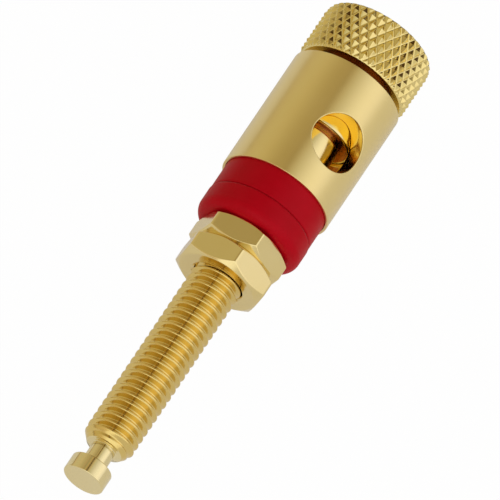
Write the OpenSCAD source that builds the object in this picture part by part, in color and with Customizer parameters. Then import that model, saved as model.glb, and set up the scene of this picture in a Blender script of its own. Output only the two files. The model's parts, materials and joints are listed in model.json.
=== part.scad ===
// Metal binding post for a panel: a knurled clamp knob on a barrel with a cross hole for the
// wire, two red insulating bushes that grip the panel, and an M6 stud with two jam nuts and a
// solder turret at its tip.
//
// Millimetres. The post lies along X: the knob is towards +X and the turret towards -X, and the
// origin is on the axis, where the outer bush meets the panel. Angles are taken about the axis,
// from +Z (0) towards -Y (90).

/* [Stud] */
// Thread diameter of the stud
stud_d = 6; // [5:0.5:7]
// Length of the stud from the panel face to its tip
stud_reach = 37.85; // [30:0.05:60]
// Length of the lead chamfer at the end of the thread
stud_lead = 1; // [0.4:0.1:1.6]
// Pitch of the thread
thread_pitch = 1; // [0.75:0.05:1.25]
// Length of plain stud between the thread and the panel face
thread_stop = 1.2; // [0.5:0.1:2]
// Diameter of the solder turret's head
turret_d = 4.9; // [3.6:0.05:5]
// Length of the solder turret's head
turret_len = 2.05; // [1:0.05:3]
// Diameter of the neck behind the turret's head
neck_d = 2.8; // [2:0.1:3.2]
// Length of the neck
neck_len = 2.45; // [1.5:0.05:4]
// Diameter of the flange that seats the stud in the barrel
flange_d = 8.4; // [7.6:0.1:8.8]
// Thickness of that flange
flange_t = 0.8; // [0.5:0.1:1.2]

/* [Nuts] */
// Width of both nuts across flats
nut_af = 9.9; // [9:0.1:11]
// Height of the nut that bears on the inner bush
panel_nut_h = 3; // [2.4:0.05:4]
// Height of the outer jam nut
lock_nut_h = 3.05; // [2.4:0.05:4]
// Direction of one corner of the panel nut
panel_nut_turn = 30; // [0:1:59]
// Direction of one corner of the lock nut
lock_nut_turn = 20.4; // [0:0.1:59]
// Slope of the chamfer on both faces of a nut
nut_chamfer = 34; // [15:1:45]

/* [Bushes] */
// Diameter of the outer bush where it meets the panel
outer_bush_d = 12.65; // [11.6:0.05:12.8]
// Height of the outer bush that shows below the barrel
outer_bush_h = 3.45; // [2.5:0.05:6]
// Diameter of the inner bush
inner_bush_d = 12.8; // [12:0.1:14]
// Height of the inner bush
inner_bush_h = 3.1; // [2.8:0.05:6]
// Radius of the rounded rim of the inner bush
inner_bush_round = 1.15; // [0.4:0.05:1.4]
// Diameter of the spigot that passes through the panel hole
spigot_d = 9.9; // [9:0.1:10.4]
// Length of the spigot
spigot_len = 2; // [1:0.1:2.2]

/* [Barrel] */
// Outer diameter of the barrel
barrel_d = 13.4; // [13.3:0.1:16]
// Length of the barrel
barrel_len = 15.5; // [14:0.1:20]
// Diameter of the bore that guides the knob's shank
bore_d = 9; // [8.8:0.1:9.6]
// Thickness of the floor that holds the stud
floor_t = 1.2; // [0.8:0.1:2]
// Depth of the seat that takes the end of the outer bush
seat_depth = 0.3; // [0.1:0.1:0.8]
// Diameter of the cross hole for the wire
wire_hole_d = 6.6; // [4:0.1:7]
// Distance of the cross hole's axis from the barrel's panel end
wire_hole_at = 6.85; // [6.6:0.05:8]
// Direction of the cross hole
wire_hole_turn = 40; // [0:1:179]

/* [Clamp knob] */
// How much wider the knob is over its knurl than the barrel
knob_step = 0.1; // [-1:0.1:3]
// Length of the knob's head
knob_len = 6.25; // [5:0.05:12]
// Gap between the knob and the barrel with the clamp nearly closed
knob_gap = 0.9; // [0.3:0.05:2]
// Size of the chamfer round the knob's lower edge, from the knurl's crests
lip_chamfer = 0.75; // [0.5:0.05:1]
// Size of the chamfer round the knob's top edge
top_chamfer = 0.35; // [0.1:0.05:0.5]
// Number of knurl ridges around the knob
knurl_count = 36; // [24:1:60]
// Angle of the knurl's grooves to the axis
knurl_angle = 32; // [25:1:45]
// Depth of the knurl
knurl_depth = 0.42; // [0.1:0.02:0.6]
// Direction of one knurl peak
knurl_turn = 6.7; // [0:0.1:10]
// How far below the knob's lower edge the knurl's first row would lie
knurl_lead = 0.23; // [0.05:0.01:0.8]
// Diameter of the socket for a 4 mm plug
socket_d = 4; // [3:0.1:4.4]
// How far the shank reaches past the cross hole's edge
shank_dip = 1.6; // [0.5:0.1:2]

/* [Clamp pin] */
// Diameter of the pad at the pressure pin's end
pin_d = 6.4; // [6.2:0.1:6.5]
// Diameter of the pin's neck, where the end of the shank closes round it
pin_neck_d = 5.7; // [5.2:0.1:6]
// Length of the neck that shows below the shank
pin_neck_len = 1.1; // [0.6:0.1:1.6]
// Diameter of the head that holds the pin in the shank
pin_head_d = 7.4; // [7.2:0.1:7.6]
// Thickness of that head
pin_head_t = 1.2; // [0.8:0.1:1.6]
// Thickness of the pin's closed end
pin_end_t = 0.9; // [0.6:0.1:1.5]
// Travel of the clamp from this position to fully open
clamp_travel = 5.5; // [4:0.1:6]

/* [Fits and edges] */
// Radial clearance of the nuts and the barrel on the stud
thread_fit = 0.03; // [0.01:0.01:0.1]
// Radial clearance of parts that turn or slide in each other
running_fit = 0.05; // [0.02:0.01:0.1]
// Radial clearance of the bushes on the stud
bush_fit = 0.1; // [0.05:0.05:0.3]
// Size of the small chamfers on turned edges
edge = 0.15; // [0.05:0.05:0.3]

/* [Hidden] */
$fn = 96;

gold = "goldenrod";
pale_gold = "palegoldenrod";
red = "crimson";

// Places along the axis, from the panel face
tip_z = -stud_reach;
turret_z = tip_z + turret_len;
thread_z = turret_z + neck_len;
lead_slope = 0.8;
lead_r = stud_d / 2 - lead_slope * stud_lead;

// The metric thread's profile: flat crests and roots between 60 degree flanks. Its rings start
// at the top of the lead chamfer.
thread_crest = thread_pitch / 8;
thread_root = thread_pitch / 4;
thread_depth = 5 / 8 * cos(30) * thread_pitch;
crest_z = thread_z + stud_lead;
thread_rings = floor((-thread_stop - crest_z) / thread_pitch);

inner_bush_z = -inner_bush_h;
panel_nut_z = inner_bush_z - panel_nut_h;
lock_nut_z = panel_nut_z - lock_nut_h;

barrel_z = outer_bush_h;
seat_z = barrel_z + seat_depth;
floor_z = seat_z + floor_t;
barrel_top_z = barrel_z + barrel_len;
hole_z = barrel_z + wire_hole_at;
hole_top_z = hole_z + wire_hole_d / 2;

knob_d = barrel_d + knob_step;
knob_z = barrel_top_z + knob_gap;
knob_top_z = knob_z + knob_len;
shank_end_z = hole_top_z - shank_dip;

// The pin's end just clears the cross hole when the clamp is fully open
open_clear = 0.1;
pin_end_z = hole_top_z + open_clear - clamp_travel;
pin_lip = 0.6;
pin_head_z = shank_end_z + pin_lip;
pin_pad_z = shank_end_z - pin_neck_len;

// One row of knurl peaks is half a period along the axis
knurl_pitch = 180 / knurl_count;
row_rise = PI * knob_d / knurl_count / 2 / tan(knurl_angle);

// The face of a nut inside its chamfer, as a share of the width across flats
nut_face = 0.95;

// Turns the axis from Z to X and the zero direction from X to Z
module lay_down() {
    rotate([0, 90, 0]) rotate([0, 0, 180]) children();
}

// A turned piece from its half outline of radius and height points
module turned(outline) {
    rotate_extrude() polygon(outline);
}

// Points of an arc from angle a0 to a1, in steps of about 10 degrees
function arc(centre, r, a0, a1) =
    let (steps = ceil(abs(a1 - a0) / 10))
    [for (i = [0:steps]) centre + r * [cos(a0 + (a1 - a0) * i / steps), sin(a0 + (a1 - a0) * i / steps)]];

// Half outline of one groove of the thread, which starts at the crest at z
function groove(z) = [
    [stud_d / 2, z + thread_crest / 2],
    [stud_d / 2 - thread_depth, z + (thread_pitch - thread_root) / 2],
    [stud_d / 2 - thread_depth, z + (thread_pitch + thread_root) / 2],
    [stud_d / 2, z + thread_pitch - thread_crest / 2]
];

module contact_stud() {
    head = turret_d / 2;
    color(gold) lay_down() turned(concat(
        [
            [0, tip_z],
            [head - edge, tip_z],
            [head, tip_z + edge],
            [head, turret_z - edge],
            [head - edge, turret_z],
            [neck_d / 2, turret_z],
            [neck_d / 2, thread_z],
            [lead_r, thread_z],
            [stud_d / 2, crest_z]
        ],
        [for (i = [0:thread_rings - 1]) each groove(crest_z + i * thread_pitch)],
        [
            [stud_d / 2, floor_z],
            [flange_d / 2, floor_z],
            [flange_d / 2, floor_z + flange_t],
            [0, floor_z + flange_t]
        ]
    ));
}

module barrel() {
    outer = barrel_d / 2;
    bore = bore_d / 2;
    seat = outer_bush_d / 2 + running_fit;
    stud_hole = stud_d / 2 + thread_fit;
    color(pale_gold) lay_down() difference() {
        turned([
            [seat, barrel_z],
            [outer - edge, barrel_z],
            [outer, barrel_z + edge],
            [outer, barrel_top_z - edge],
            [outer - edge, barrel_top_z],
            [bore + edge, barrel_top_z],
            [bore, barrel_top_z - edge],
            [bore, floor_z],
            [stud_hole, floor_z],
            [stud_hole, seat_z],
            [seat, seat_z]
        ]);
        rotate([0, 0, wire_hole_turn]) translate([0, 0, hole_z]) rotate([0, 90, 0])
            cylinder(d = wire_hole_d, h = 2 * barrel_d, center = true);
    }
}

// A full round of diamond knurl from z0 to at least z1. Each row is a ring of peaks and groove
// crossings in turn, and the next row is the same ring turned by one place. The panels between
// two rows are folded along the grooves, which join crossing to crossing.
module knurl(r, z0, z1) {
    rows = ceil((z1 - z0) / row_rise);
    places = 2 * knurl_count;
    points = [
        for (row = [0:rows], i = [0:places - 1])
            let (
                a = i * knurl_pitch,
                rr = (row + i) % 2 == 0 ? r : r - knurl_depth
            )
            [rr * cos(a), rr * sin(a), z0 + row * row_rise]
    ];
    function at(row, i) = row * places + i % places;
    panels = [
        for (row = [0:rows - 1], i = [0:places - 1])
            each (row + i) % 2 == 0
                ? [
                    [at(row, i), at(row + 1, i), at(row, i + 1)],
                    [at(row + 1, i), at(row + 1, i + 1), at(row, i + 1)]
                ]
                : [
                    [at(row, i), at(row + 1, i), at(row + 1, i + 1)],
                    [at(row, i), at(row + 1, i + 1), at(row, i + 1)]
                ]
    ];
    bottom = [for (i = [0:places - 1]) i];
    top = [for (i = [places - 1:-1:0]) rows * places + i];
    polyhedron(points, concat(panels, [bottom, top]));
}

module clamp_knob() {
    r = knob_d / 2;
    shank = bore_d / 2 - running_fit;
    mouth = pin_neck_d / 2 + running_fit;
    pocket = pin_head_d / 2 + running_fit;
    pocket_z = pin_head_z - running_fit;
    pocket_top_z = pin_head_z + pin_head_t + running_fit;
    socket = socket_d / 2;
    socket_lead = 0.5;
    overlap = 1;
    color(pale_gold) lay_down() difference() {
        union() {
            // Knurled band, with both edges chamfered across the crests
            intersection() {
                rotate([0, 0, knurl_turn]) knurl(r, knob_z - knurl_lead, knob_top_z);
                turned([
                    [0, knob_z],
                    [r - lip_chamfer, knob_z],
                    [r + overlap, knob_z + lip_chamfer + overlap],
                    [r + overlap, knob_top_z - top_chamfer - overlap],
                    [r - top_chamfer, knob_top_z],
                    [0, knob_top_z]
                ]);
            }
            // Shank
            turned([
                [0, shank_end_z],
                [shank - edge, shank_end_z],
                [shank, shank_end_z + edge],
                [shank, knob_z + overlap],
                [0, knob_z + overlap]
            ]);
        }
        turned([
            [0, shank_end_z - overlap],
            [mouth, shank_end_z - overlap],
            [mouth, pocket_z],
            [pocket, pocket_z],
            [pocket, pocket_top_z],
            [socket, pocket_top_z],
            [socket, knob_top_z - socket_lead],
            [socket + socket_lead + overlap, knob_top_z + overlap],
            [0, knob_top_z + overlap]
        ]);
    }
}

module clamp_pin() {
    r = pin_d / 2;
    neck = pin_neck_d / 2;
    head = pin_head_d / 2;
    bore = socket_d / 2;
    head_top_z = pin_head_z + pin_head_t;
    tip_chamfer = 0.4;
    color(gold) lay_down() turned([
        [0, pin_end_z],
        [r - tip_chamfer, pin_end_z],
        [r, pin_end_z + tip_chamfer],
        [r, pin_pad_z - edge],
        [r - edge, pin_pad_z],
        [neck, pin_pad_z],
        [neck, pin_head_z],
        [head, pin_head_z],
        [head, head_top_z],
        [bore, head_top_z],
        [bore, pin_end_z + pin_end_t],
        [0, pin_end_z + pin_end_t]
    ]);
}

module outer_bush() {
    r = outer_bush_d / 2;
    hole = stud_d / 2 + bush_fit;
    color(red) lay_down() turned([
        [hole, -spigot_len],
        [spigot_d / 2 - edge, -spigot_len],
        [spigot_d / 2, -spigot_len + edge],
        [spigot_d / 2, 0],
        [r - edge, 0],
        [r, edge],
        [r, seat_z],
        [hole, seat_z]
    ]);
}

module inner_bush() {
    r = inner_bush_d / 2;
    hole = stud_d / 2 + bush_fit;
    recess = spigot_d / 2 + bush_fit;
    recess_floor_z = -spigot_len - bush_fit;
    color(red) lay_down() turned(concat(
        [
            [hole, inner_bush_z],
            [hole, recess_floor_z],
            [recess, recess_floor_z],
            [recess, 0],
            [r - edge, 0],
            [r, -edge]
        ],
        arc([r - inner_bush_round, inner_bush_z + inner_bush_round], inner_bush_round, 0, -90)
    ));
}

// A hexagon nut chamfered on both faces, from z up to z + h, with one corner at the turn
module hex_nut(z, h, turn) {
    corner = nut_af / 2 / cos(30);
    face = nut_face * nut_af / 2;
    slope = (corner - face) * tan(nut_chamfer);
    hole = stud_d / 2 + thread_fit;
    sink = 0.25;
    difference() {
        intersection() {
            translate([0, 0, z]) rotate([0, 0, turn]) cylinder(r = corner, h = h, $fn = 6);
            turned([
                [0, z],
                [face, z],
                [corner, z + slope],
                [corner, z + h - slope],
                [face, z + h],
                [0, z + h]
            ]);
        }
        turned([
            [0, z - sink],
            [hole + 2 * sink, z - sink],
            [hole, z + sink],
            [hole, z + h - sink],
            [hole + 2 * sink, z + h + sink],
            [0, z + h + sink]
        ]);
    }
}

module panel_nut() {
    color(gold) lay_down() hex_nut(panel_nut_z, panel_nut_h, panel_nut_turn);
}

module lock_nut() {
    color(gold) lay_down() hex_nut(lock_nut_z, lock_nut_h, lock_nut_turn);
}

contact_stud();
barrel();
clamp_knob();
clamp_pin();
outer_bush();
inner_bush();
panel_nut();
lock_nut();
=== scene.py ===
import json
import math
import bmesh
import bpy
import numpy as np
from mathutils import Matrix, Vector


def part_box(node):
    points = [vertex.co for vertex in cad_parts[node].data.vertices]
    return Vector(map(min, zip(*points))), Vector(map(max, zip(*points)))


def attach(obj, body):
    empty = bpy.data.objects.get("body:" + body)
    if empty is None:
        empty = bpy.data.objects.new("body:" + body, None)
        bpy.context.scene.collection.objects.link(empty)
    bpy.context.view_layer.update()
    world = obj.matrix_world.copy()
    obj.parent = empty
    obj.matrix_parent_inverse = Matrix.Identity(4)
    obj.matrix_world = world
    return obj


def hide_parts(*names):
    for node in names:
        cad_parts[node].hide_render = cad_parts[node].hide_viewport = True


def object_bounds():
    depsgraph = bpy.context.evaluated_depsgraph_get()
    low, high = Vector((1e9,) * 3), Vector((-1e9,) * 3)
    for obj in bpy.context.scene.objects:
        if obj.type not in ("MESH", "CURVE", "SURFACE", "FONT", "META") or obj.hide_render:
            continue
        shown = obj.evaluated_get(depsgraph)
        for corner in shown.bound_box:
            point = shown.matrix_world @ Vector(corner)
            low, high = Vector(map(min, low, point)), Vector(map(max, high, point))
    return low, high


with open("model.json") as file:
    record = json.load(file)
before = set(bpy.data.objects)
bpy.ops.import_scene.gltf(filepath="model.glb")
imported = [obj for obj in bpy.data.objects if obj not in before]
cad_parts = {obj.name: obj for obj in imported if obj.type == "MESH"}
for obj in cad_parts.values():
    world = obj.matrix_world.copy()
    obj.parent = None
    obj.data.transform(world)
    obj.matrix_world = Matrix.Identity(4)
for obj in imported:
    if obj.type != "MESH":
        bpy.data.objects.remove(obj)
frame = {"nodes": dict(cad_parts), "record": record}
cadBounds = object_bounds()
record = frame["record"]
mm = 0.001
print("frame loaded:", ", ".join(sorted(frame["nodes"])))

# The post lies along X, with its knob towards +X. Angles run round that axis, from +Z (0)
# towards -Y (90). The pieces' tables give sizes in millimetres and turns in degrees. Places along
# the axis are worked out in metres from the CAD nodes' boxes.


def nodeSpan(node):
    low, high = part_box(node)
    return low.x, high.x


def nodeRadius(node):
    low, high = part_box(node)
    return (high.y - low.y) / 2


def mountOf(name):
    return next(m for m in record["mounts"] if m["name"] == name)


def around(count, start=0.0):
    # Equal steps round the axis, in radians
    return start + np.arange(count) * 2 * math.pi / count


def toSpace(outline, angles):
    # A point at radius r, place x and angle a stands at (x, -r sin a, r cos a)
    r, x, angles = np.broadcast_arrays(outline[..., 0], outline[..., 1], angles)
    return np.stack([x, -r * np.sin(angles), r * np.cos(angles)], axis=-1)


# How a corner is eased: the rows of its curve, the most of an edge that the curve may take,
# and the distance to the row beside it, in millimetres and as the most of the edge
easing = {"steps": 5, "mostOfEdge": 0.42, "support": 0.04, "mostSupport": 0.05}


def softOutline(corners, rounds, angleCount=1):
    # Rows of (radius, place) points along an outline whose corners are eased: each corner is
    # a quadratic curve from the point one round before it to the point one round after it,
    # and two support rows keep the shading of the straight part true
    shape = (angleCount, 2)
    points = [np.broadcast_to(np.stack(np.broadcast_arrays(*c), axis=-1), shape) for c in corners]
    sizes = [s * mm for s in rounds]
    support = easing["support"] * mm
    rows = []
    t = np.linspace(0, 1, easing["steps"] + 1)[:, None, None]
    for k, point in enumerate(points):
        if k in (0, len(points) - 1) or sizes[k] == 0:
            rows.append(point[None])
            continue
        before, after = points[k - 1] - point, points[k + 1] - point
        lengthBefore = np.linalg.norm(before, axis=-1, keepdims=True)
        lengthAfter = np.linalg.norm(after, axis=-1, keepdims=True)
        unitBefore, unitAfter = before / lengthBefore, after / lengthAfter
        cutBefore = np.minimum(sizes[k], easing["mostOfEdge"] * lengthBefore)
        cutAfter = np.minimum(sizes[k], easing["mostOfEdge"] * lengthAfter)
        a, b = point + unitBefore * cutBefore, point + unitAfter * cutAfter
        lead = np.minimum(support, easing["mostSupport"] * lengthBefore)
        trail = np.minimum(support, easing["mostSupport"] * lengthAfter)
        rows.append((a + unitBefore * lead)[None])
        rows.append((1 - t) ** 2 * a + 2 * t * (1 - t) * point + t ** 2 * b)
        rows.append((b + unitAfter * trail)[None])
    return np.concatenate(rows, axis=0)


def softMin(a, b, width):
    # The smaller of two values, eased over a width where they cross
    return 0.5 * (a + b - np.sqrt((a - b) ** 2 + width ** 2))


def gridQuads(rowCount, columnCount, wrapRows=False):
    # The four corners of each cell of a grid whose points are numbered row by row, and whose
    # last column joins its first
    r = np.arange(rowCount if wrapRows else rowCount - 1)[:, None]
    c = np.arange(columnCount)[None]
    row, nextRow = r * columnCount, (r + 1) % rowCount * columnCount
    nextColumn = (c + 1) % columnCount
    cells = [row + c, row + nextColumn, nextRow + nextColumn, nextRow + c]
    return np.stack(np.broadcast_arrays(*cells), axis=-1).reshape(-1, 4)


# In millimetres: points closer than the first are merged, and edges shorter than the second go
meshLimits = {"merge": 0.0004, "shortest": 0.0002}


def meshFrom(name, points, faces, materialIndex=None, sharpAngle=40):
    # One closed mesh: points that fall together are merged, faces that have shrunk to
    # nothing go, and the faces are turned outwards if the volume they enclose is negative
    points = points.reshape(-1, 3)
    p = points[faces]
    volume = np.einsum("ij,ij->i", p[:, 0], np.cross(p[:, 1], p[:, 2])).sum()
    volume += np.einsum("ij,ij->i", p[:, 0], np.cross(p[:, 2], p[:, 3])).sum()
    if volume < 0:
        faces = faces[:, ::-1]
    mesh = bpy.data.meshes.new(name)
    mesh.vertices.add(len(points))
    mesh.vertices.foreach_set("co", points.astype(np.float32).ravel())
    mesh.loops.add(faces.size)
    mesh.loops.foreach_set("vertex_index", faces.astype(np.int32).ravel())
    mesh.polygons.add(len(faces))
    mesh.polygons.foreach_set("loop_start", np.arange(0, faces.size, 4, dtype=np.int32))
    if materialIndex is not None:
        mesh.polygons.foreach_set("material_index", materialIndex.astype(np.int32))
    mesh.update(calc_edges=True)
    bm = bmesh.new()
    bm.from_mesh(mesh)
    bmesh.ops.remove_doubles(bm, verts=bm.verts, dist=meshLimits["merge"] * mm)
    bmesh.ops.dissolve_degenerate(bm, edges=bm.edges, dist=meshLimits["shortest"] * mm)
    bm.to_mesh(mesh)
    bm.free()
    mesh.polygons.foreach_set("use_smooth", np.ones(len(mesh.polygons), dtype=bool))
    mesh.set_sharp_from_angle(angle=math.radians(sharpAngle))
    piece = bpy.data.objects.new(name, mesh)
    bpy.context.scene.collection.objects.link(piece)
    print("  ", name, len(mesh.polygons), "faces")
    return piece


def facesWhere(outline, columnCount, rule):
    # One value for each face of a swept outline, row by row: 1 where the rule holds at both
    # edges of the face's row, and 0 elsewhere
    holds = rule(outline[:, 0, 0], outline[:, 0, 1])
    return np.repeat((holds[:-1] & holds[1:]).astype(int), columnCount)


turnedAngles = 128


def turnedPiece(name, corners, rounds, closed=True):
    # A solid of revolution: the eased outline swept once round the axis
    outline = softOutline(corners, rounds)
    points = toSpace(outline, around(turnedAngles)[None])
    return meshFrom(name, points, gridQuads(len(outline), turnedAngles, wrapRows=closed))


def dress(piece, body, cadNode, slotName, *materials):
    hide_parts(cadNode)
    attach(piece, body)
    for material in materials:
        piece.data.materials.append(material)


def makeGroup(name, inputs, outputs):
    # An empty node group whose named inputs and outputs are all plain numbers
    group = bpy.data.node_groups.new(name, "ShaderNodeTree")
    for label in inputs:
        group.interface.new_socket(label, in_out="INPUT", socket_type="NodeSocketFloat")
    for label in outputs:
        group.interface.new_socket(label, in_out="OUTPUT", socket_type="NodeSocketFloat")
    return group, group.nodes.new("NodeGroupInput"), group.nodes.new("NodeGroupOutput")


def node(tree, kind, inputs=None, **settings):
    # A node with its settings, and with inputs that are values or other nodes' outputs
    made = tree.nodes.new(kind)
    for label, value in settings.items():
        setattr(made, label, value)
    for key, value in (inputs or {}).items():
        if isinstance(value, bpy.types.NodeSocket):
            tree.links.new(value, made.inputs[key])
        else:
            made.inputs[key].default_value = value
    return made


def math2(tree, operation, a, b=0.0, c=0.0):
    return node(tree, "ShaderNodeMath", {0: a, 1: b, 2: c}, operation=operation).outputs[0]


ringsAcross = 140.0


def makeTurnedFinish():
    # Fine rings left by the lathe, under plating: a noise that changes fast along X and slowly
    # across it, beside a soft cloud that varies colour and roughness
    group, given, result = makeGroup(
        "turnedFinish", ("Rings", "Cloud", "Spread"), ("Height", "Tone", "Roughness Shift"))
    place = group.nodes.new("ShaderNodeTexCoord").outputs["Object"]
    stretch = node(
        group, "ShaderNodeCombineXYZ", {0: given.outputs["Rings"], 1: ringsAcross, 2: ringsAcross})
    along = node(
        group, "ShaderNodeVectorMath", {0: place, 1: stretch.outputs[0]}, operation="MULTIPLY")
    rings = node(
        group, "ShaderNodeTexNoise",
        {"Vector": along.outputs[0], "Scale": 1.0, "Detail": 2.0, "Roughness": 0.55})
    cloud = node(
        group, "ShaderNodeTexNoise",
        {"Vector": place, "Scale": given.outputs["Cloud"], "Detail": 3.0, "Roughness": 0.5})
    ringHeight = math2(group, "SUBTRACT", rings.outputs[0], 0.5)
    group.links.new(ringHeight, result.inputs["Height"])
    group.links.new(cloud.outputs[0], result.inputs["Tone"])
    both = math2(group, "ADD", ringHeight, math2(group, "SUBTRACT", cloud.outputs[0], 0.5))
    shift = math2(group, "MULTIPLY", both, given.outputs["Spread"])
    group.links.new(shift, result.inputs["Roughness Shift"])
    return group


def mixColour(tree, factor, first, second):
    # The colour sockets of a mix node are its third pair of inputs
    return node(tree, "ShaderNodeMix", {0: factor, 6: first, 7: second}, data_type="RGBA").outputs[2]


goldBump = 0.002


def goldMaterial(name, look):
    # Gold plate on turned brass: two close tones mixed by the cloud, lathe rings in the bump,
    # and a clear coat half as rough as the gold
    material = bpy.data.materials.new(name)
    material.use_nodes = True
    tree = material.node_tree
    shader = tree.nodes["Principled BSDF"]
    shader.inputs["Metallic"].default_value = 1.0
    shader.inputs["Coat Weight"].default_value = look["coat"]
    shader.inputs["Coat Roughness"].default_value = look["roughness"] / 2
    finish = node(tree, "ShaderNodeGroup", node_tree=turnedFinish)
    for label in ("Rings", "Cloud", "Spread"):
        finish.inputs[label].default_value = look[label.lower()]
    colour = mixColour(tree, finish.outputs["Tone"], (*look["deep"], 1), (*look["pale"], 1))
    tree.links.new(colour, shader.inputs["Base Color"])
    roughness = math2(tree, "ADD", finish.outputs["Roughness Shift"], look["roughness"])
    tree.links.new(roughness, shader.inputs["Roughness"])
    bump = node(
        tree, "ShaderNodeBump",
        {"Strength": look["bump"], "Distance": goldBump * mm, "Height": finish.outputs["Height"]})
    tree.links.new(bump.outputs[0], shader.inputs["Normal"])
    return material


turnedFinish = makeTurnedFinish()

goldLooks = {
    "satinGold": {
        "deep": (0.86, 0.69, 0.28), "pale": (0.90, 0.74, 0.34), "roughness": 0.34, "coat": 0.8,
        "rings": 9000.0, "cloud": 260.0, "spread": 0.05, "bump": 0.3,
    },
    "brightGold": {
        "deep": (0.86, 0.70, 0.31), "pale": (0.90, 0.76, 0.39), "roughness": 0.15, "coat": 0.5,
        "rings": 9000.0, "cloud": 320.0, "spread": 0.03, "bump": 0.15,
    },
    "turretGold": {
        "deep": (0.86, 0.73, 0.37), "pale": (0.90, 0.78, 0.44), "roughness": 0.14, "coat": 0.6,
        "rings": 9000.0, "cloud": 320.0, "spread": 0.03, "bump": 0.15,
    },
    "threadGold": {
        "deep": (0.80, 0.60, 0.19), "pale": (0.84, 0.65, 0.24), "roughness": 0.16, "coat": 0.3,
        "rings": 5000.0, "cloud": 320.0, "spread": 0.04, "bump": 0.15,
    },
    "knurledGold": {
        "deep": (0.87, 0.71, 0.28), "pale": (0.91, 0.76, 0.33), "roughness": 0.16, "coat": 0.2,
        "rings": 5000.0, "cloud": 700.0, "spread": 0.05, "bump": 0.2,
    },
    # Painted shade: a deeper, more saturated gold for bores, hole walls and the knob's underside,
    # standing in for light bounced between gold walls in the hollows
    "hollowShadeGold": {
        "deep": (0.90, 0.63, 0.12), "pale": (0.94, 0.71, 0.16), "roughness": 0.12, "coat": 0.0,
        "rings": 5000.0, "cloud": 500.0, "spread": 0.05, "bump": 0.2,
    },
    # Painted shade: near-black brown for the top of the knob's shank, where the gap under the head lies
    # in shade
    "shadedGold": {
        "deep": (0.13, 0.035, 0.006), "pale": (0.18, 0.05, 0.01), "roughness": 0.3, "coat": 0.0,
        "rings": 5000.0, "cloud": 500.0, "spread": 0.05, "bump": 0.2,
    },
    # Painted shade: dark amber for the end face of the knob's shank, inside the barrel
    "amberShadeGold": {
        "deep": (0.42, 0.13, 0.02), "pale": (0.54, 0.19, 0.03), "roughness": 0.25, "coat": 0.0,
        "rings": 5000.0, "cloud": 500.0, "spread": 0.05, "bump": 0.2,
    },
}
gold = {name: goldMaterial(name, look) for name, look in goldLooks.items()}

redLook = {
    "deep": (0.46, 0.0, 0.008), "bright": (0.56, 0.001, 0.014), "specular": 0.08,
    "roughness": 0.4, "spread": 0.1, "mottle": 500.0, "grain": 9000.0, "bump": 0.15, "bumpDepth": 0.004,
}


def redPlasticMaterial():
    # Moulded plastic: a faint mottle in colour and roughness, and a fine grain in the bump
    material = bpy.data.materials.new("redPlastic")
    material.use_nodes = True
    tree = material.node_tree
    shader = tree.nodes["Principled BSDF"]
    shader.inputs["Specular IOR Level"].default_value = redLook["specular"]
    place = tree.nodes.new("ShaderNodeTexCoord").outputs["Object"]
    mottle = node(
        tree, "ShaderNodeTexNoise", {"Vector": place, "Scale": redLook["mottle"], "Detail": 3.0})
    colour = mixColour(tree, mottle.outputs[0], (*redLook["deep"], 1), (*redLook["bright"], 1))
    tree.links.new(colour, shader.inputs["Base Color"])
    smoothest = redLook["roughness"] - redLook["spread"] / 2
    roughness = math2(tree, "MULTIPLY_ADD", mottle.outputs[0], redLook["spread"], smoothest)
    tree.links.new(roughness, shader.inputs["Roughness"])
    grain = node(tree, "ShaderNodeTexNoise", {"Vector": place, "Scale": redLook["grain"], "Detail": 2.0})
    bump = node(
        tree, "ShaderNodeBump",
        {"Strength": redLook["bump"], "Distance": redLook["bumpDepth"] * mm, "Height": grain.outputs[0]})
    tree.links.new(bump.outputs[0], shader.inputs["Normal"])
    return material


redPlastic = redPlasticMaterial()
print("finishes made")


stud = {
    "diameter": 6.0, "pitch": 1.0, "rootDiameter": 4.92, "crestShare": 0.16, "rootShare": 0.16,
    "blend": 0.1, "turretDiameter": 4.9, "turretLength": 2.05, "neckDiameter": 2.8,
    "neckLength": 2.45, "lead": 1.0, "leadSlope": 0.8, "leadEase": 0.03, "threadEnd": -1.2,
    "fade": 1.2, "flangeDiameter": 8.4, "flangeThickness": 0.8, "flangeEdge": 0.1,
    "edge": 0.15, "neckTopEdge": 0.08, "neckEndEdge": 0.12, "flangeFoot": 0.05, "angles": 132,
    # Where the rows of one turn lie, in shares of the pitch from a crest
    "rowShares": (0.0, 0.05, 0.08, 0.11, 0.15, 0.25, 0.35, 0.40, 0.44, 0.5,
                  0.56, 0.60, 0.65, 0.75, 0.85, 0.89, 0.92, 0.95),
}


def threadDepth(share):
    # Share of the full thread depth across one pitch: 0 on the crest and 1 at the root, with
    # straight flanks between, and a parabola at each end of a flank
    half = np.abs((share + 0.5) % 1 - 0.5) * 2
    t = (half - stud["crestShare"]) / (1 - stud["crestShare"] - stud["rootShare"])
    ease = stud["blend"]

    def rise(v):
        return np.where(v < -ease, 0, np.where(v > ease, v, (v + ease) ** 2 / (4 * ease)))

    return rise(t) - rise(t - 1)


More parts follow.
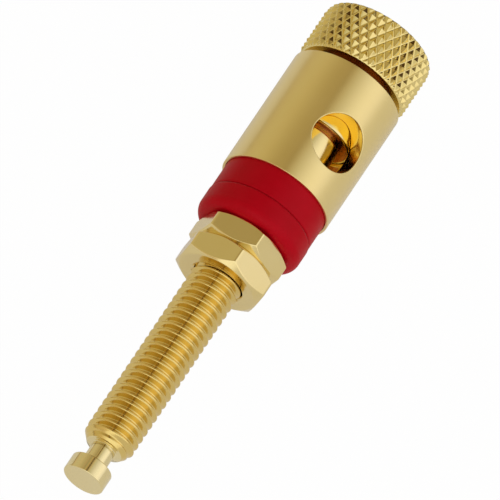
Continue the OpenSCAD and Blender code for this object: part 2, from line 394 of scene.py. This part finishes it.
def makeStud():
    tip, top = nodeSpan("contact_stud")
    angles = around(stud["angles"])
    crest = stud["diameter"] / 2 * mm
    root = stud["rootDiameter"] / 2 * mm
    pitch = stud["pitch"] * mm
    threadStart = tip + (stud["turretLength"] + stud["neckLength"]) * mm
    threadEnd = stud["threadEnd"] * mm
    leadRadius = crest - stud["lead"] * stud["leadSlope"] * mm

    # Each row of the thread follows the helix, so crest and root lie along the rows. Rows
    # past either end are pressed flat against it
    shares = np.array(stud["rowShares"])
    perTurn = len(shares)
    turns = np.arange(-1, math.ceil((threadEnd - threadStart) / pitch) + 1)
    rows = (turns[:, None] + shares[None]).reshape(-1, 1)
    place = threadStart + (rows + angles[None] / (2 * math.pi)) * pitch
    depth = threadDepth(rows) * (crest - root)
    depth = depth * np.clip((threadEnd - place) / (stud["fade"] * mm), 0, 1)
    cone = leadRadius + (place - threadStart) * stud["leadSlope"]
    radius = softMin(crest - depth, cone, stud["leadEase"] * mm)
    below, above = place < threadStart, place > threadEnd
    radius = np.where(below, leadRadius, np.where(above, crest, radius))
    place = np.clip(place, threadStart, threadEnd)
    threadPoints = toSpace(np.stack([radius, place], axis=-1), angles[None])
    rowCount, n = threadPoints.shape[:2]
    # The last column joins the first one a turn further on
    r, c = np.arange(rowCount - 1)[:, None], np.arange(n)[None]
    nextColumn = (c + 1) % n
    nextRow = r + np.where(c == n - 1, perTurn, 0)
    cells = np.stack(np.broadcast_arrays(
        r * n + c, nextRow * n + nextColumn, (nextRow + 1) * n + nextColumn, (r + 1) * n + c), axis=-1)
    threadFaces = cells[np.broadcast_to(nextRow + 1 < rowCount, cells.shape[:2])]

    head, neck, edge = stud["turretDiameter"] / 2 * mm, stud["neckDiameter"] / 2 * mm, stud["edge"]
    turretTop = tip + stud["turretLength"] * mm
    flange, flangeLow = stud["flangeDiameter"] / 2 * mm, top - stud["flangeThickness"] * mm
    lower = softOutline(
        [(0, tip), (head, tip), (head, turretTop), (neck, turretTop), (neck, threadStart),
         (leadRadius, threadStart)],
        [0, edge, edge, stud["neckTopEdge"], stud["neckEndEdge"], 0])
    upper = softOutline(
        [(crest, threadEnd), (crest, flangeLow), (flange, flangeLow), (flange, top), (0, top)],
        [0, stud["flangeFoot"], stud["flangeEdge"], stud["flangeEdge"], 0])
    # The turret and its neck, which are the lower outline, take the second material
    parts, faces, offset = [threadPoints.reshape(-1, 3)], [threadFaces], rowCount * n
    polished = [np.zeros(len(threadFaces))]
    for outline in (lower, upper):
        parts.append(toSpace(outline, angles[None]).reshape(-1, 3))
        faces.append(gridQuads(len(outline), n) + offset)
        polished.append(np.full(len(faces[-1]), outline is lower))
        offset += len(outline) * n
    return meshFrom(
        "threadedStud", np.concatenate(parts), np.concatenate(faces), np.concatenate(polished),
        sharpAngle=180)


dress(makeStud(), "post", "contact_stud", "bright_gold", gold["threadGold"], gold["turretGold"])


nuts = {
    "acrossFlats": 9.9, "faceShare": 0.95, "chamfer": 34.0, "cornerRound": 0.3, "boreRadius": 3.03,
    "sink": 0.25, "sinkEdge": 0.04, "edgeRound": 0.09, "panelTurn": 30.0, "lockTurn": 20.4,
    "anglesPerFlat": 32, "crowding": 1.6,
}


def hexRadius(angles, turn):
    # Distance from the axis to a hexagon whose corners are small arcs: the flat's distance
    # over the cosine of the angle from its middle, or the outer arc of the corner's circle
    apothem, r = nuts["acrossFlats"] / 2, nuts["cornerRound"]
    fromCorner = (angles - turn + math.pi / 6) % (math.pi / 3) - math.pi / 6
    flat = apothem / np.cos(math.pi / 6 - np.abs(fromCorner))
    centre = (apothem - r) / math.cos(math.pi / 6)
    reach = r ** 2 - (centre * np.sin(fromCorner)) ** 2
    arc = centre * np.cos(fromCorner) + np.sqrt(np.maximum(reach, 0))
    tangent = math.atan2(r * math.sin(math.pi / 6), centre + r * math.cos(math.pi / 6))
    return np.where(np.abs(fromCorner) < tangent, arc, flat) * mm


def makeNut(name, cadNode, turnDegrees):
    low, high = nodeSpan(cadNode)
    turn = math.radians(turnDegrees)
    # Steps across each flat crowd towards its corners, by a power of the distance to them
    even = np.linspace(-1, 1, nuts["anglesPerFlat"], endpoint=False)
    withinFlat = np.sign(even) * (1 - (1 - np.abs(even)) ** nuts["crowding"])
    flats = turn + math.pi / 6 + np.arange(6)[:, None] * math.pi / 3
    angles = (flats + withinFlat[None] * math.pi / 6).ravel()
    side = hexRadius(angles, turn)
    face = nuts["acrossFlats"] / 2 * nuts["faceShare"] * mm
    drop = (side - face) * math.tan(math.radians(nuts["chamfer"]))
    bore, sink = nuts["boreRadius"] * mm, nuts["sink"] * mm
    r, s = nuts["edgeRound"], nuts["sinkEdge"]
    outline = softOutline(
        [(bore, low + sink), (bore + sink, low), (face, low), (side, low + drop), (side, high - drop),
         (face, high), (bore + sink, high), (bore, high - sink), (bore, low + sink)],
        [0, s, r, r, r, r, s, s, 0], angleCount=len(angles))
    # The bore takes the second material, a deeper gold that paints shade in the hollow
    hollow = facesWhere(outline, len(angles), lambda radius, place: radius < bore + sink / 2)
    points = toSpace(outline, angles[None])
    return meshFrom(name, points, gridQuads(len(outline), len(angles)), hollow)


for name, cadNode, turnName in (
        ("panelNut", "panel_nut", "panelTurn"), ("lockNut", "lock_nut", "lockTurn")):
    nutPiece = makeNut(name, cadNode, nuts[turnName])
    dress(nutPiece, "nuts", cadNode, "bright_gold", gold["brightGold"], gold["hollowShadeGold"])


bushes = {
    "boreRadius": 3.1, "spigotRadius": 4.95, "spigotLength": 2.0, "recessRadius": 5.05,
    "recessDepth": 2.1, "rimRound": 1.15, "rimSteps": 13, "seamRound": 0.3, "edge": 0.05,
    "boreEdge": 0.1, "spigotEdge": 0.15,
}


def makeOuterBush():
    low, high = nodeSpan("outer_bush")
    r, bore, spigot = nodeRadius("outer_bush"), bushes["boreRadius"] * mm, bushes["spigotRadius"] * mm
    panel, edge = low + bushes["spigotLength"] * mm, bushes["edge"]
    return turnedPiece(
        "outerBush",
        [(bore, low), (spigot, low), (spigot, panel), (r, panel), (r, high), (bore, high), (bore, low)],
        [0, bushes["spigotEdge"], edge, bushes["seamRound"], edge, bushes["boreEdge"], 0])


def makeInnerBush():
    low, high = nodeSpan("inner_bush")
    r, bore, recess = nodeRadius("inner_bush"), bushes["boreRadius"] * mm, bushes["recessRadius"] * mm
    floor = high - bushes["recessDepth"] * mm
    rim, edge = bushes["rimRound"] * mm, bushes["edge"]
    t = np.linspace(0, math.pi / 2, bushes["rimSteps"])
    # The rim is a quarter circle from the side to the face
    rimCorners = [(r - rim + rim * math.cos(a), low + rim - rim * math.sin(a)) for a in t]
    corners = [(bore, low), (bore, floor), (recess, floor), (recess, high), (r, high)]
    rounds = [0, edge, edge, edge, bushes["seamRound"]] + [0] * len(rimCorners) + [0]
    return turnedPiece("innerBush", corners + rimCorners + [(bore, low)], rounds)


dress(makeOuterBush(), "post", "outer_bush", "red_plastic", redPlastic)
dress(makeInnerBush(), "bush", "inner_bush", "red_plastic", redPlastic)


barrel = {
    "boreRadius": 4.5, "floor": 1.5, "seat": 0.3, "seatRadius": 6.375, "seatEdge": 0.04,
    "studHole": 3.03, "holeRadius": 3.3, "edge": 0.24, "edgeRound": 0.23976, "holeEdge": 0.16,
    "innerEdge": 0.06, "landing": 0.01, "floorGap": 0.02,
    # Counts of mesh rows: round half the barrel, along it, from the border to the hole, and
    # then through the hole over its outer edge, its wall and its inner edge
    "ringHalf": 72, "rise": 48, "outerRows": 30, "outerEdgeRows": 6, "wallRows": 7,
    "innerEdgeRows": 2, "crowding": 1.7,
}


def makeBarrel():
    low, high = nodeSpan("barrel")
    # The closed knob lands on this end, so it lies a hair lower and the faces don't share a plane
    high -= barrel["landing"] * mm
    outer, bore = nodeRadius("barrel"), barrel["boreRadius"] * mm
    hole = mountOf("wire_hole")
    holeRadius, innerEase = barrel["holeRadius"] * mm, barrel["innerEdge"] * mm
    holeAt = hole["pos_m"][0]
    holeTurn = math.atan2(-hole["axis"][1], hole["axis"][2])
    edge, ease = barrel["edge"] * mm, barrel["holeEdge"] * mm
    floor = low + barrel["floor"] * mm
    boreStart = floor + barrel["floorGap"] * mm
    across, up = barrel["ringHalf"], barrel["rise"]

    def border(zLow, zHigh):
        # Round the rectangle of one half of the wall, corner to corner: the angle round the
        # axis and the place of each point
        s = np.linspace(-1, 1, across, endpoint=False)
        t = np.linspace(-1, 1, up, endpoint=False)
        one = np.ones
        u = np.concatenate([s, one(up), -s, -one(up)]) * math.pi / 2
        v = np.concatenate([-one(across), t, one(across), -t])
        return u, zLow + (v + 1) / 2 * (zHigh - zLow)

    def onWall(radius, holeR, theta):
        # Where a tube of that radius round the hole's axis meets a wall of the barrel
        angle = np.arcsin(np.clip(holeR * np.cos(theta) / radius, -1, 1))
        return angle, holeAt + holeR * np.sin(theta)

    def wallRows(radius, zLow, zHigh, reach, spread):
        # From the border to the hole's eased edge, crowding towards the hole
        u, z = border(zLow, zHigh)
        theta = np.arctan2((z - holeAt), u * radius)
        # Even steps round the hole between the directions of the rectangle's corners
        corners = np.array([0, across, across + up, 2 * across + up])
        cornerTheta = np.unwrap(theta[corners])
        cornerTheta = np.append(cornerTheta, cornerTheta[0] + 2 * math.pi)
        even = np.interp(np.arange(len(u)), np.append(corners, len(u)), cornerTheta)
        uHole, zHole = onWall(radius, holeRadius + reach, even)
        w = spread[:, None]
        uu = u[None] * (1 - w) + uHole[None] * w
        zz = z[None] * (1 - w) + zHole[None] * w
        return np.stack([zz, -radius * np.sin(uu), radius * np.cos(uu)], axis=-1), even

    spread = 1 - (1 - np.linspace(0, 1, barrel["outerRows"])) ** barrel["crowding"]
    outside, theta = wallRows(outer, low + edge, high - edge, ease, spread)
    inside, _ = wallRows(bore, boreStart, high - edge, innerEase, spread[::2])

    def easedCurve(t, first, corner, last):
        return (1 - t) ** 2 * first + 2 * t * (1 - t) * corner + t ** 2 * last

    def holeRows(radiusOut, radiusIn):
        # Through the wall: the eased outer edge, the straight wall, the eased inner edge. A
        # point stands at (place, across, height) with the hole's axis as height
        across, along = holeRadius * np.cos(theta), holeRadius * np.sin(theta)
        outerHeight = np.sqrt(radiusOut ** 2 - across ** 2)
        innerHeight = np.sqrt(radiusIn ** 2 - across ** 2)
        growth = 1 + ease / holeRadius
        startHeight = np.sqrt(radiusOut ** 2 - (across * growth) ** 2)
        t = np.linspace(0, 1, barrel["outerEdgeRows"] + 1)[1:, None]
        first = [
            easedCurve(t, along * growth, along, along),
            easedCurve(t, across * growth, across, across),
            easedCurve(t, startHeight, outerHeight, outerHeight - ease)]
        t = np.linspace(0, 1, barrel["wallRows"] + 1)[1:, None]
        wallEnd = innerHeight + innerEase
        second = [along[None], across[None], (outerHeight - ease) * (1 - t) + wallEnd * t]
        growth = 1 + innerEase / holeRadius
        endHeight = np.sqrt(radiusIn ** 2 - (across * growth) ** 2)
        t = np.linspace(0, 1, barrel["innerEdgeRows"] + 1)[1:, None]
        third = [
            easedCurve(t, along, along, along * growth),
            easedCurve(t, across, across, across * growth),
            easedCurve(t, wallEnd, innerHeight, endHeight)]
        rows = (np.broadcast_arrays(holeAt + x, -y, z) for x, y, z in (first, second, third))
        return np.concatenate([np.stack(row, axis=-1) for row in rows])

    through = holeRows(outer, bore)
    patch = np.concatenate([outside, through, inside[::-1][1:]])
    # The wall of the hole and the bore take the second material, a deeper gold that paints shade in the
    # hollows
    hollowFrom = len(outside) + barrel["outerEdgeRows"] - 1
    patchHollow = np.repeat((np.arange(len(patch) - 1) >= hollowFrom).astype(int), patch.shape[1])
    parts, faces, hollow, offset = [], [], [], 0
    for turn in (holeTurn, holeTurn + math.pi):
        c, s = math.cos(turn), math.sin(turn)
        x, y, z = patch[..., 0], patch[..., 1], patch[..., 2]
        turned = np.stack([x, y * c - z * s, y * s + z * c], axis=-1)
        parts.append(turned.reshape(-1, 3))
        faces.append(gridQuads(*patch.shape[:2]) + offset)
        hollow.append(patchHollow)
        offset += parts[-1].shape[0]
    ring = holeTurn + np.linspace(-math.pi / 2, 3 * math.pi / 2, 2 * across, endpoint=False)
    seat, studHole = barrel["seatRadius"] * mm, barrel["studHole"] * mm
    seatTop, small = low + barrel["seat"] * mm, barrel["seatEdge"]
    # On the side this round is held to the share of the short edge that easing allows
    wide = barrel["edgeRound"]
    topRows = softOutline(
        [(outer, high - edge), (outer, high), (bore, high), (bore, high - edge)], [0, wide, wide, 0])
    lowRows = softOutline(
        [(outer, low + edge), (outer, low), (seat, low), (seat, seatTop), (studHole, seatTop),
         (studHole, floor), (bore, floor), (bore, boreStart)],
        [0, wide, small, small, small, small, 0, 0])
    # Faces at the bore's radius in the end rows also take the painted shade of the hollows
    for rows in (topRows, lowRows):
        parts.append(toSpace(rows, ring[None]).reshape(-1, 3))
        faces.append(gridQuads(len(rows), len(ring)) + offset)
        hollow.append(facesWhere(rows, len(ring), lambda radius, place: radius < bore + edge))
        offset += parts[-1].shape[0]
    return meshFrom(
        "barrelSleeve", np.concatenate(parts), np.concatenate(faces), np.concatenate(hollow))


dress(makeBarrel(), "post", "barrel", "satin_gold", gold["satinGold"], gold["hollowShadeGold"])


knob = {
    "ridges": 36, "grooveAngle": 32.0, "depth": 0.42, "peakTurn": 6.7, "rowLead": 0.23,
    "lipChamfer": 0.5, "topChamfer": 0.3, "headLength": 6.25, "shankRadius": 4.45, "shaded": 1.0,
    "endRound": 0.3, "mouthRadius": 2.9, "pocketRadius": 3.75, "pocketFrom": 0.55, "pocketTo": 1.85,
    "socketRadius": 2.0, "socketLead": 0.5, "edge": 0.05, "mouthEdge": 0.1, "socketEdge": 0.1,
    # The knurl's mesh, and how far its ridges, its grooves and its cut ends are eased
    "stepsPerRidge": 12, "bandRows": 96, "soften": 0.05, "valley": 0.06, "cutEase": 0.02,
    "endEase": 0.03, "lipInset": 0.01, "topInset": 0.06,
    # How closely a face has to lie to a surface to count as its own
    "hair": 0.01, "endMargin": 0.2,
}


def knurlHeight(angle, place, radius, firstRow):
    # Share of the knurl's depth: each of two sets of grooves rises from 0 at its groove to 1
    # halfway to the next one, and the lower of the two wins
    ridgeWidth = 2 * math.pi * radius / knob["ridges"]
    rowRise = ridgeWidth / 2 / math.tan(math.radians(knob["grooveAngle"]))
    ridge = (angle - math.radians(knob["peakTurn"])) * knob["ridges"] / (2 * math.pi)
    row = (place - firstRow) / (2 * rowRise)

    def easedWave(p):
        # The groove's bottom follows a hyperbola, so that the valley is a little round
        h = 1 - 2 * np.abs(p % 1 - 0.5)
        return np.sqrt(h ** 2 + knob["valley"] ** 2) - knob["valley"] * (1 - h)

    return softMin(easedWave(ridge + row + 0.5), easedWave(ridge - row + 0.5), knob["soften"])


def makeKnob():
    shankEnd, top = nodeSpan("clamp_knob")
    radius = nodeRadius("clamp_knob")
    headLow = top - knob["headLength"] * mm
    count = knob["ridges"] * knob["stepsPerRidge"]
    angles = around(count, math.radians(knob["peakTurn"]))
    depth = knob["depth"] * mm
    lip, topCut = knob["lipChamfer"] * mm, knob["topChamfer"] * mm
    places = np.linspace(headLow, top, knob["bandRows"])[:, None]
    height = knurlHeight(angles[None], places, radius, headLow - knob["rowLead"] * mm)
    band = radius - depth * (1 - height)
    cut = softMin(
        radius - lip + (places - headLow), radius - topCut + (top - places), knob["cutEase"] * mm)
    band = softMin(band, cut, knob["endEase"] * mm)
    knurled = np.stack(np.broadcast_arrays(band, places), axis=-1)
    shank, mouth = knob["shankRadius"] * mm, knob["mouthRadius"] * mm
    pocket, socket = knob["pocketRadius"] * mm, knob["socketRadius"] * mm
    pocketLow, pocketTop = shankEnd + knob["pocketFrom"] * mm, shankEnd + knob["pocketTo"] * mm
    socketLead, shadedFrom = knob["socketLead"] * mm, headLow - knob["shaded"] * mm
    edge, hair = knob["edge"], knob["hair"] * mm
    reach, endMargin = knob["endRound"] * mm + hair, knob["endMargin"] * mm
    lower = softOutline(
        [(pocket, pocketTop), (pocket, pocketLow), (mouth, pocketLow), (mouth, shankEnd),
         (shank, shankEnd), (shank, shadedFrom), (shank, headLow),
         (radius - lip - knob["lipInset"] * mm, headLow)],
        [0, edge, edge, knob["mouthEdge"], knob["endRound"], 0, edge, 0])
    upper = softOutline(
        [(radius - topCut - knob["topInset"] * mm, top), (socket + socketLead, top),
         (socket, top - socketLead), (socket, pocketTop), (pocket, pocketTop)],
        [0, edge, knob["socketEdge"], edge, 0])
    lower, upper = (np.broadcast_to(rows, (len(rows), count, 2)) for rows in (lower, upper))
    outline = np.concatenate([lower, knurled, upper])
    closed = np.concatenate([outline, outline[:1]])

    def inside(radius, place):
        return (radius < shank + hair) | ((place < headLow + hair) & (radius < radius.max() - lip))

    # Painted shade: the top of the shank, in the gap under the head
    def onPaintedShade(radius, place):
        return (np.abs(radius - shank) < 2 * hair) & (place > shadedFrom - hair)

    # Painted shade: the end face of the shank, inside the barrel
    def onEnd(radius, place):
        return (place < shankEnd + hair) & (radius < shank - endMargin)

    def onEndRound(radius, place):
        return (radius > shank - reach) & (place > shankEnd - hair) & (place < shankEnd + reach)

    # The shank, the socket and the head's underside take the second material, a deeper gold painted as
    # shade in the hollows; the top of the shank takes the third, a near-black painted shade for the gap
    # under the head; its end takes the fourth, a dark amber painted shade, and that end's edge the fifth
    slots = facesWhere(closed, count, inside)
    for slot, rule in ((4, onEndRound), (3, onEnd), (2, onPaintedShade)):
        slots = np.where(facesWhere(closed, count, rule) == 1, slot, slots)
    points = toSpace(outline, angles[None])
    faces = gridQuads(len(outline), count, wrapRows=True)
    return meshFrom("knurledKnob", points, faces, slots, sharpAngle=60)


# The second, third and fourth finishes paint shade onto the knob's hollows, the top of its shank and the
# shank's end
knobFinishes = ("knurledGold", "hollowShadeGold", "shadedGold", "amberShadeGold", "brightGold")
dress(makeKnob(), "knob", "clamp_knob", "satin_gold", *(gold[name] for name in knobFinishes))


pin = {
    "padRadius": 3.2, "neckRadius": 2.85, "headRadius": 3.7, "boreRadius": 2.0, "headLength": 1.2,
    "neckLength": 0.95, "endThickness": 0.9, "tipRound": 0.4, "padEdge": 0.15, "neckEdges": (0.06, 0.05),
    "headEdge": 0.1, "boreEdge": 0.05,
}


def makePin():
    low, high = nodeSpan("clamp_pin")
    headLow = high - pin["headLength"] * mm
    padTop = headLow - pin["neckLength"] * mm
    pad, neck, head, bore = (
        pin[key] * mm for key in ("padRadius", "neckRadius", "headRadius", "boreRadius"))
    boreFloor = low + pin["endThickness"] * mm
    return turnedPiece(
        "pressurePin",
        [(0, low), (pad, low), (pad, padTop), (neck, padTop), (neck, headLow), (head, headLow),
         (head, high), (bore, high), (bore, boreFloor), (0, boreFloor)],
        [0, pin["tipRound"], pin["padEdge"], *pin["neckEdges"], pin["headEdge"], pin["headEdge"],
         pin["boreEdge"], pin["boreEdge"], 0], closed=False)


dress(makePin(), "pressure_pin", "clamp_pin", "bright_gold", gold["brightGold"])
print("pieces made")


# The floor's size is in metres, and its drop below the post in millimetres. It is matte, and
# glows by a share for reflected rays and by another for the camera's
studio = {
    "floorSize": 3.0, "floorDrop": 0.02, "floorTone": (0.85, 0.85, 0.85), "cameraShare": 0.985,
    "glossyShare": 0.3,
    # Brightness round the X axis: each stop is an angle from straight up towards -Y, and a
    # colour. What lies further towards -X or +X than the two limits has stops of its own
    "ring": [
        (-95, (0.25, 0.20, 0.12)), (-88, (0.30, 0.24, 0.14)), (-80, (0.62, 0.50, 0.31)),
        (-65, (0.58, 0.53, 0.34)), (-45, (0.60, 0.50, 0.30)), (-30, (0.48, 0.42, 0.24)),
        (-20, (0.50, 0.38, 0.21)), (-14, (0.36, 0.31, 0.17)), (-8, (0.43, 0.38, 0.20)),
        (-3, (0.60, 0.41, 0.20)), (1, (0.32, 0.24, 0.10)), (3, (0.03, 0.03, 0.01)),
        (5, (0.02, 0.01, 0.0)), (7, (0.26, 0.20, 0.09)), (10, (0.56, 0.43, 0.24)),
        (14, (0.60, 0.51, 0.32)), (20, (0.59, 0.57, 0.44)), (28, (0.68, 0.65, 0.57)),
        (38, (0.84, 0.80, 0.75)), (52, (0.99, 0.97, 0.93)), (68, (1.08, 1.03, 1.0)),
        (80, (1.0, 0.96, 0.94)), (90, (0.80, 0.77, 0.76)),
    ],
    "tipEnd": [
        (-90, (0.60, 0.50, 0.35)), (-45, (0.70, 0.58, 0.40)), (-15, (0.95, 0.90, 0.80)),
        (5, (1.1, 1.1, 1.1)), (60, (1.1, 1.1, 1.1)), (90, (0.95, 0.90, 0.80)),
    ],
    "knobEnd": [
        (-90, (0.65, 0.58, 0.45)), (-50, (0.35, 0.28, 0.16)), (-20, (0.05, 0.02, 0.006)),
        (50, (0.05, 0.02, 0.006)), (75, (0.45, 0.40, 0.28)), (100, (0.75, 0.70, 0.60)),
    ],
    "tipLimits": (-0.5, -0.75), "knobLimits": (0.65, 0.85), "endLimits": (0.98, 0.93),
    "apex": (1.1, 1.07, 1.0), "apexLimits": (-0.955, -0.985),
}


def makeWorld():
    # A tent of soft light round the post: colour by the direction's angle about X, from one
    # ramp for the middle and one for each end, and one colour close to the axis towards -X
    world = bpy.data.worlds.new("lightTent")
    world.use_nodes = True
    bpy.context.scene.world = world
    tree = world.node_tree
    tree.nodes.clear()
    direction = tree.nodes.new("ShaderNodeTexCoord").outputs["Generated"]
    split = node(tree, "ShaderNodeSeparateXYZ", {0: direction})
    minusY = math2(tree, "MULTIPLY", split.outputs[1], -1.0)
    angle = math2(tree, "ARCTAN2", minusY, split.outputs[2])
    turn = math2(tree, "MULTIPLY_ADD", angle, 1 / (2 * math.pi), 0.5)

    def ramp(stopsName):
        made = node(tree, "ShaderNodeValToRGB", {0: turn})
        stops = made.color_ramp.elements
        for index, (degrees, colour) in enumerate(studio[stopsName]):
            position = degrees / 360 + 0.5
            stop = stops[index] if index < 2 else stops.new(position)
            stop.position, stop.color = position, (*colour, 1)
        return made.outputs[0]

    def shareOf(limitsName):
        start, end = studio[limitsName]
        return node(
            tree, "ShaderNodeMapRange", {"Value": split.outputs[0], "From Min": start, "From Max": end},
            interpolation_type="SMOOTHSTEP").outputs[0]

    # The colours of the knob's end fade out again close to the axis
    knobShare = math2(tree, "MULTIPLY", shareOf("knobLimits"), shareOf("endLimits"))
    colour = mixColour(tree, shareOf("tipLimits"), ramp("ring"), ramp("tipEnd"))
    colour = mixColour(tree, knobShare, colour, ramp("knobEnd"))
    colour = mixColour(tree, shareOf("apexLimits"), colour, (*studio["apex"], 1))
    tent = node(tree, "ShaderNodeBackground", {"Color": colour, "Strength": 1.0})
    white = node(tree, "ShaderNodeBackground", {"Color": (1, 1, 1, 1), "Strength": 1.0})
    seen = tree.nodes.new("ShaderNodeLightPath").outputs["Is Camera Ray"]
    mix = node(tree, "ShaderNodeMixShader", {0: seen, 1: tent.outputs[0], 2: white.outputs[0]})
    out = tree.nodes.new("ShaderNodeOutputWorld")
    tree.links.new(mix.outputs[0], out.inputs["Surface"])


def makeFloor():
    size, z = studio["floorSize"], cadBounds[0].z - studio["floorDrop"] * mm
    s = np.array([[-1, -1], [1, -1], [1, 1], [-1, 1]]) * size / 2
    mesh = bpy.data.meshes.new("paleFloor")
    mesh.from_pydata([(x, y, z) for x, y in s], [], [(0, 1, 2, 3)])
    floor = bpy.data.objects.new("paleFloor", mesh)
    bpy.context.scene.collection.objects.link(floor)
    material = bpy.data.materials.new("paleFloor")
    material.use_nodes = True
    tree = material.node_tree
    tree.nodes.clear()
    path = tree.nodes.new("ShaderNodeLightPath")
    glow = node(tree, "ShaderNodeEmission", {"Color": (1, 1, 1, 1), "Strength": 1.0})
    shown = node(tree, "ShaderNodeBsdfDiffuse", {"Color": (*studio["floorTone"], 1)})
    for raysName, shareName in (("Is Glossy Ray", "glossyShare"), ("Is Camera Ray", "cameraShare")):
        share = math2(tree, "MULTIPLY", path.outputs[raysName], studio[shareName])
        shown = node(tree, "ShaderNodeMixShader", {0: share, 1: shown.outputs[0], 2: glow.outputs[0]})
    out = tree.nodes.new("ShaderNodeOutputMaterial")
    tree.links.new(shown.outputs[0], out.inputs["Surface"])
    mesh.materials.append(material)


makeWorld()
makeFloor()
print("studio made")


# The camera looks past the middle of the object's box, by the offset in millimetres. Its
# distance and its clip limits are in metres
camera = {
    "azimuth": -59.69, "elevation": 60.1, "lens": 1500.0, "sensor": 36.0, "distance": 2.277,
    "offset": (2.875, -0.638, -1.642), "clip": (0.05, 20.0),
}


def makeCamera():
    a, e = math.radians(camera["azimuth"]), math.radians(camera["elevation"])
    back = Vector((math.sin(a) * math.cos(e), -math.cos(a) * math.cos(e), math.sin(e)))
    data = bpy.data.cameras.new("view")
    data.lens, data.sensor_width = camera["lens"], camera["sensor"]
    data.clip_start, data.clip_end = camera["clip"]
    eye = bpy.data.objects.new("view", data)
    aim = (cadBounds[0] + cadBounds[1]) / 2 + Vector(camera["offset"]) * mm
    eye.location = aim + back * camera["distance"]
    eye.rotation_mode = "QUATERNION"
    eye.rotation_quaternion = (-back).to_track_quat("-Z", "Y")
    bpy.context.scene.collection.objects.link(eye)
    bpy.context.scene.camera = eye


makeCamera()
bpy.context.scene.view_settings.view_transform = "Standard"
